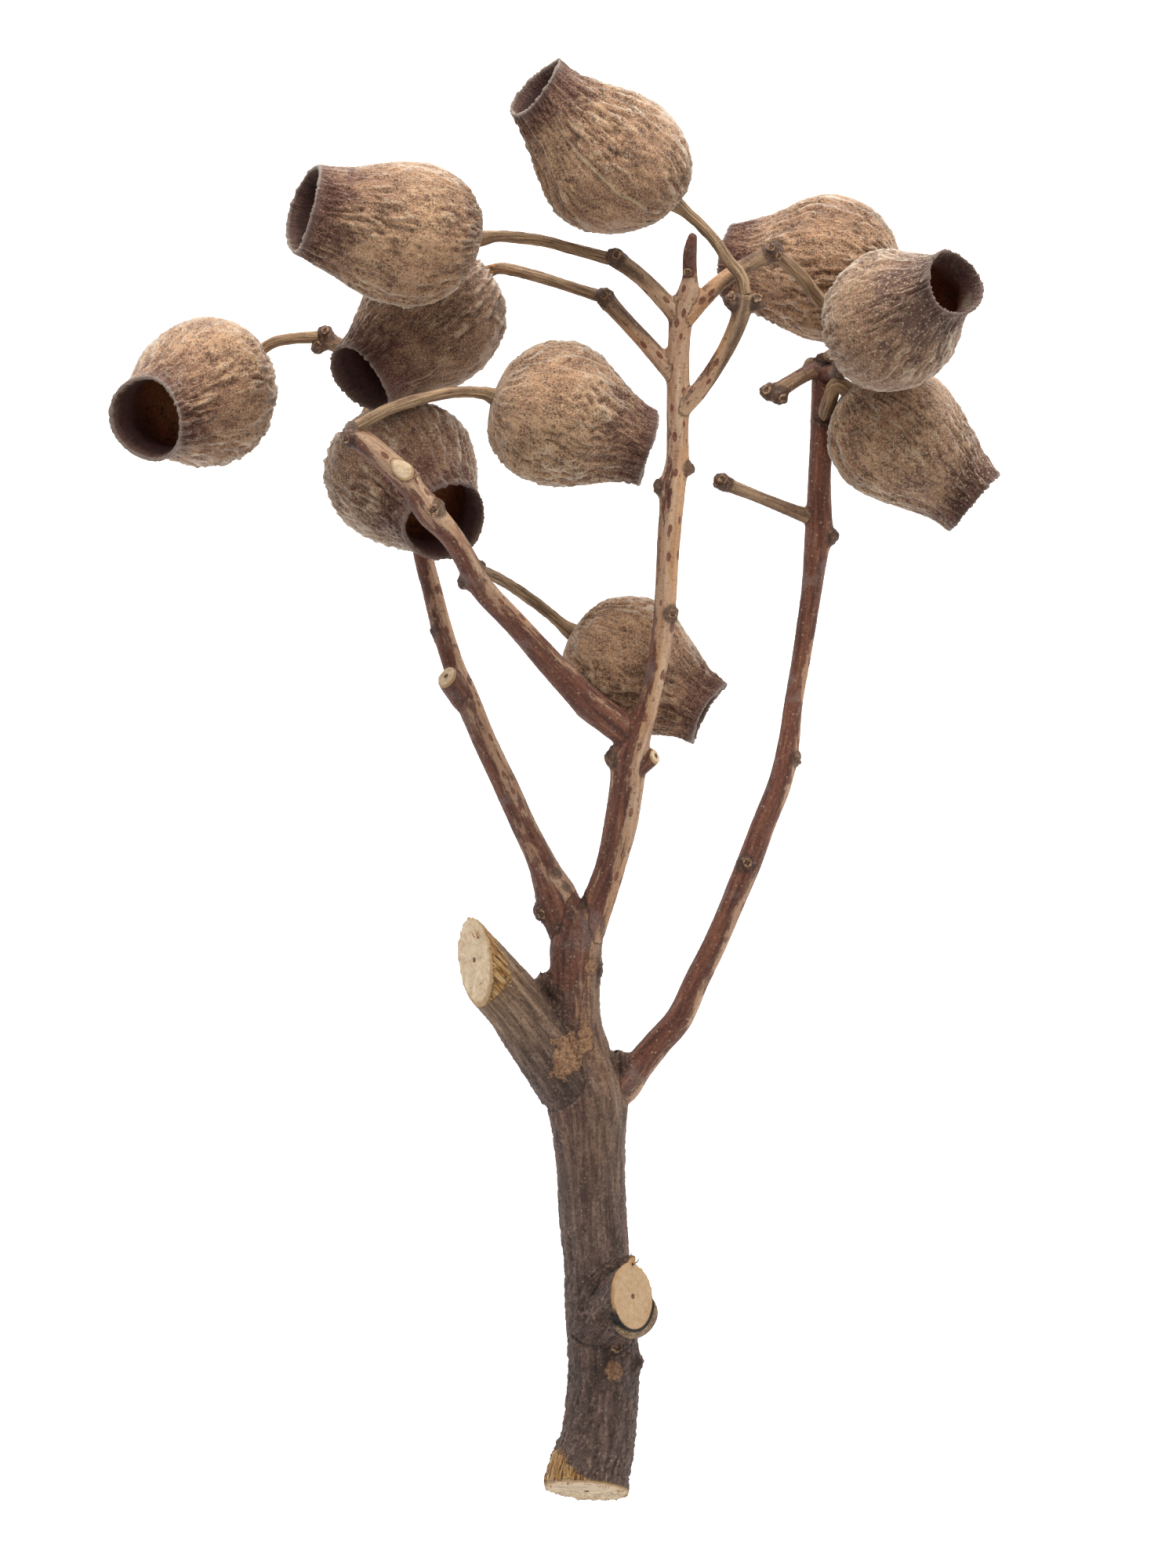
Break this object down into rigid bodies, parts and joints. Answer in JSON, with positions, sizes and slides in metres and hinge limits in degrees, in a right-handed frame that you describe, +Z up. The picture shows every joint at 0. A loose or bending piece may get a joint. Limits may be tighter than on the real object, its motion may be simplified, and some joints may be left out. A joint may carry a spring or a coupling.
{
  "type": "cut branch of bell cup pods",
  "caption": "Cut, dried gum-tree branch lying flat, with open bell-shaped woody pods on thin curved stalks and sawn side stubs.",
  "frame": {"origin": "bottom centre of the whole branch's bounding box, on the surface it lies on", "axes": "+Y from the cut foot to the twig tips, the longest way; +Z up from the surface, the shortest way; +X to the right seen from above"},
  "size_m": [0.1702, 0.2748, 0.0676],
  "materials": {
    "bark": "dry, rough grey-brown to red-brown bark, pale where it has peeled",
    "pod_skin": "matt khaki-brown woody skin, finely pimpled and wrinkled, dark at the rim"
  },
  "bodies": {
    "root": {"branch": "bark", "pod_top": "pod_skin", "pod_upper_left": "pod_skin", "pod_inner_left": "pod_skin", "pod_far_left": "pod_skin", "pod_lower_left": "pod_skin", "pod_middle": "pod_skin", "pod_low": "pod_skin", "pod_back_right": "pod_skin", "pod_front_right": "pod_skin", "pod_lower_right": "pod_skin"}
  },
  "joints": []
}
